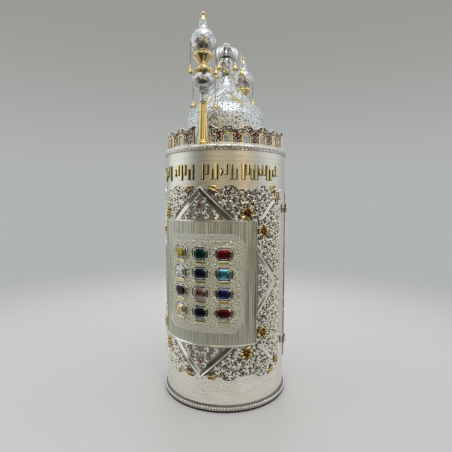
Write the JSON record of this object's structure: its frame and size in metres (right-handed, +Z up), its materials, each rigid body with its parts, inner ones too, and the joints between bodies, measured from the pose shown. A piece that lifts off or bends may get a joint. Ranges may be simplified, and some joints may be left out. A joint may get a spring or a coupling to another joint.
{
  "type": "torah scroll case",
  "caption": "Upright silver Torah scroll case, a hinged cylinder with a gem-set breastplate, filigree bands, pierced gallery, domed crown and bell finials.",
  "frame": {"origin": "centre of the underside, on the case's upright axis", "axes": "+Z up, front with the breastplate towards -Y, hinge at -X, clasps at +X"},
  "size_m": [0.3123, 0.3264, 0.8853],
  "materials": {
    "brushed_silver": "silver, brushed round the letter band and upright on the panel, with cast relief over a darkened ground",
    "polished_silver": "mirror-polished silver, softly hammered on the dome",
    "relief_silver": "cast silver filigree with darkened recesses",
    "gold": "bright gilding",
    "felt": "black felt",
    "gem_olive": "step-cut coloured stone, foil backed",
    "gem_green": "step-cut coloured stone, foil backed",
    "gem_red": "step-cut coloured stone, foil backed",
    "gem_clear": "step-cut coloured stone, foil backed",
    "gem_navy": "step-cut coloured stone, foil backed",
    "gem_aqua": "step-cut coloured stone, foil backed",
    "gem_purple": "step-cut coloured stone, foil backed",
    "gem_pink": "step-cut coloured stone, foil backed",
    "gem_blue": "step-cut coloured stone, foil backed",
    "gem_champagne": "step-cut coloured stone, foil backed",
    "gem_black": "step-cut coloured stone, foil backed",
    "gem_ruby": "step-cut coloured stone, foil backed"
  },
  "bodies": {
    "front_half": {"breastplate_plaque": "brushed_silver", "crown_canopy": "polished_silver", "crown_dome": "polished_silver", "crown_knob": "polished_silver", "front_base": "brushed_silver", "front_base_pad": "felt", "front_finial_cup": "gold", "front_finial_lower_bulb": "polished_silver", "front_finial_post": "gold", "front_finial_tip": "gold", "front_finial_upper_bulb": "polished_silver", "front_gallery_left": "relief_silver", "front_gallery_right": "relief_silver", "front_hinge_leaf": "brushed_silver", "front_left_triangle_frame": "polished_silver", "front_lower_triangle_frame": "polished_silver", "front_right_triangle_frame": "polished_silver", "front_top": "brushed_silver", "front_upper_triangle_frame": "polished_silver", "front_wall": "brushed_silver", "gem_row1_column1": "gem_olive", "gem_row1_column2": "gem_green", "gem_row1_column3": "gem_red", "gem_row2_column1": "gem_clear", "gem_row2_column2": "gem_navy", "gem_row2_column3": "gem_aqua", "gem_row3_column1": "gem_purple", "gem_row3_column2": "gem_pink", "gem_row3_column3": "gem_blue", "gem_row4_column1": "gem_champagne", "gem_row4_column2": "gem_black", "gem_row4_column3": "gem_ruby", "hinge_pin": "brushed_silver", "lower_left_inner_flower": "gold", "lower_left_outer_flower": "gold", "lower_right_inner_flower": "gold", "lower_right_outer_flower": "gold", "upper_left_inner_flower": "gold", "upper_left_outer_flower": "gold", "upper_right_inner_flower": "gold", "upper_right_outer_flower": "gold"},
    "back_half": {"back_base": "brushed_silver", "back_base_pad": "felt", "back_finial_cup": "gold", "back_finial_lower_bulb": "polished_silver", "back_finial_post": "gold", "back_finial_tip": "gold", "back_finial_upper_bulb": "polished_silver", "back_gallery_left": "relief_silver", "back_gallery_right": "relief_silver", "back_hinge_leaf": "brushed_silver", "back_left_triangle_frame": "polished_silver", "back_lower_triangle_frame": "polished_silver", "back_right_triangle_frame": "polished_silver", "back_top": "brushed_silver", "back_upper_triangle_frame": "polished_silver", "back_wall": "brushed_silver", "lower_clasp": "polished_silver", "upper_clasp": "polished_silver"}
  },
  "joints": [
    {"name": "back_half_hinge", "type": "hinge", "parent": "front_half", "child": "back_half", "pos_m": [-0.1533, 0, 0.3], "axis": [0, 0, 1], "range_deg": [0, 165]}
  ]
}
